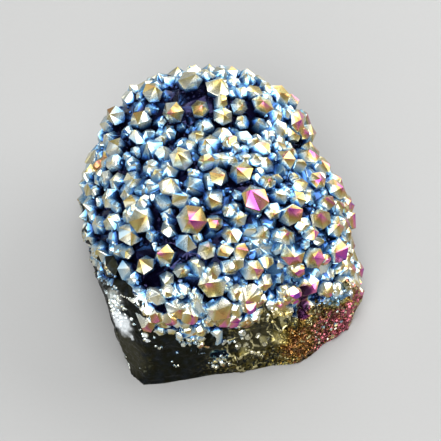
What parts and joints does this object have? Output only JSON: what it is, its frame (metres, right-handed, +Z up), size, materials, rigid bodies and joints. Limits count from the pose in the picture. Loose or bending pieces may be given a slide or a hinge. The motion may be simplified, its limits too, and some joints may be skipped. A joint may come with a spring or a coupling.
{
  "type": "aura quartz cluster",
  "caption": "Small domed piece of quartz druse, crowded with short six-sided points and coated with an iridescent metal film, broken on its sides and flat underneath.",
  "frame": {"origin": "under the middle of the bounding box, in the flat that the piece rests on", "axes": "+Z up; the dark broken side is towards -Y and the tallest, most rounded end towards +Y"},
  "size_m": [0.0498, 0.0544, 0.0281],
  "materials": {
    "coated_quartz": "thin iridescent metal film on quartz: violet and navy low between the crystals, blue on their sides, white, gold and pink towards their tips; dull olive on the broken sides"
  },
  "bodies": {
    "root": {"quartz_cluster": "coated_quartz"}
  },
  "joints": []
}
